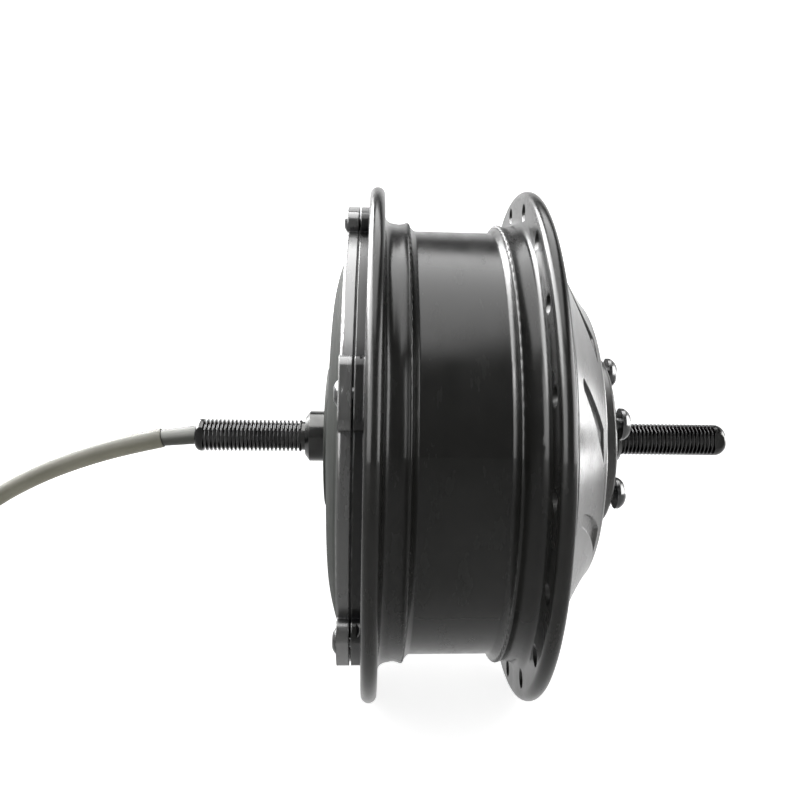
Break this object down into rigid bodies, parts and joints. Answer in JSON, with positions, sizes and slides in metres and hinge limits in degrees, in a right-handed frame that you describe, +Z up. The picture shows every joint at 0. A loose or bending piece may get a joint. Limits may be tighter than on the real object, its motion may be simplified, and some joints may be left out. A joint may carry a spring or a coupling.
{
  "type": "geared hub motor",
  "caption": "Geared electric bicycle hub motor with spoke flanges, hollow threaded axle, disc brake mount, planetary gears and a motor cable that ends in a plug.",
  "frame": {"origin": "on the axle axis, half-way between the two spoke flanges", "axes": "+Y along the axle towards the brake disc side, -Y towards the cable, +Z up, +X towards the front"},
  "size_m": [0.1568, 0.3557, 0.1568],
  "materials": {
    "shell": "satin black paint over die-cast aluminium",
    "axle": "dark polished steel",
    "screw": "dark oiled steel",
    "bearing": "ground bearing steel",
    "steel": "machined steel",
    "gasket": "matt",
    "aluminium": "machined",
    "laminations": "stamped electrical steel",
    "copper": "enamelled copper wire",
    "magnet": "nickel plated",
    "nylon": "moulded nylon",
    "board": "solder mask",
    "cable": "satin warm grey jacket",
    "sleeve": "dark olive grey",
    "plug": "moulded",
    "contact": "gold flashed"
  },
  "bodies": {
    "fixed": {"axle": "axle", "keys": "steel", "axle_circlips": "steel", "inner_spacer": "steel", "brake_side_spacer": "axle", "left_bearing_inner": "bearing", "right_bearing_inner": "bearing", "rotor_bearing_inners": "bearing", "planet_carrier": "steel", "planet_pins": "steel", "clutch_hub": "steel", "clutch_rollers": "bearing", "stator_core": "laminations", "end_insulators": "nylon", "windings": "copper", "stator_hub": "aluminium", "hall_board": "board", "board_standoffs": "contact", "cable_sleeve": "sleeve", "motor_cable": "cable", "inner_lead": "cable", "cable_coil": "cable", "cable_tie": "plug", "cable_tail": "cable", "connector_body": "plug", "connector_pins": "contact"},
    "shell": {"hub_shell": "shell", "side_cover": "shell", "cover_gasket": "gasket", "cable_side_seal": "gasket", "brake_side_seal": "gasket", "cover_screws": "screw", "brake_disc_screws": "screw", "ring_gear_screws": "screw", "ring_gear": "steel", "left_bearing_outer": "bearing", "right_bearing_outer": "bearing"},
    "rotor": {"rotor_bell": "steel", "magnets": "magnet", "sun_gear": "steel", "rotor_bearing_outers": "bearing"},
    "planet_1": {"planet_gear_1": "nylon", "planet_bush_1": "contact"},
    "planet_2": {"planet_gear_2": "nylon", "planet_bush_2": "contact"},
    "planet_3": {"planet_gear_3": "nylon", "planet_bush_3": "contact"},
    "left_balls": {"left_bearing_balls": "bearing"},
    "right_balls": {"right_bearing_balls": "bearing"},
    "rotor_balls": {"rotor_bearing_balls": "bearing"}
  },
  "joints": [
    {"name": "shell_spin", "type": "hinge", "parent": "fixed", "child": "shell", "pos_m": [0, 0, 0], "axis": [0, 1, 0], "continuous": true},
    {"name": "rotor_spin", "type": "hinge", "parent": "fixed", "child": "rotor", "pos_m": [0, 0, 0], "axis": [0, 1, 0], "continuous": true},
    {"name": "planet_1_spin", "type": "hinge", "parent": "fixed", "child": "planet_1", "pos_m": [0, 0, 0.0285], "axis": [0, 1, 0], "continuous": true},
    {"name": "planet_2_spin", "type": "hinge", "parent": "fixed", "child": "planet_2", "pos_m": [-0.02468, 0, -0.01425], "axis": [0, 1, 0], "continuous": true},
    {"name": "planet_3_spin", "type": "hinge", "parent": "fixed", "child": "planet_3", "pos_m": [0.02468, 0, -0.01425], "axis": [0, 1, 0], "continuous": true},
    {"name": "left_balls_spin", "type": "hinge", "parent": "fixed", "child": "left_balls", "pos_m": [0, 0, 0], "axis": [0, 1, 0], "continuous": true},
    {"name": "right_balls_spin", "type": "hinge", "parent": "fixed", "child": "right_balls", "pos_m": [0, 0, 0], "axis": [0, 1, 0], "continuous": true},
    {"name": "rotor_balls_spin", "type": "hinge", "parent": "fixed", "child": "rotor_balls", "pos_m": [0, 0, 0], "axis": [0, 1, 0], "continuous": true}
  ],
  "couplings": [
    {"joint": "rotor_spin", "follows": "shell_spin", "ratio": -4.1818},
    {"joint": "planet_1_spin", "follows": "shell_spin", "ratio": 2.6286},
    {"joint": "planet_2_spin", "follows": "shell_spin", "ratio": 2.6286},
    {"joint": "planet_3_spin", "follows": "shell_spin", "ratio": 2.6286},
    {"joint": "left_balls_spin", "follows": "shell_spin", "ratio": 0.5607},
    {"joint": "right_balls_spin", "follows": "shell_spin", "ratio": 0.58767},
    {"joint": "rotor_balls_spin", "follows": "shell_spin", "ratio": -2.3708}
  ]
}
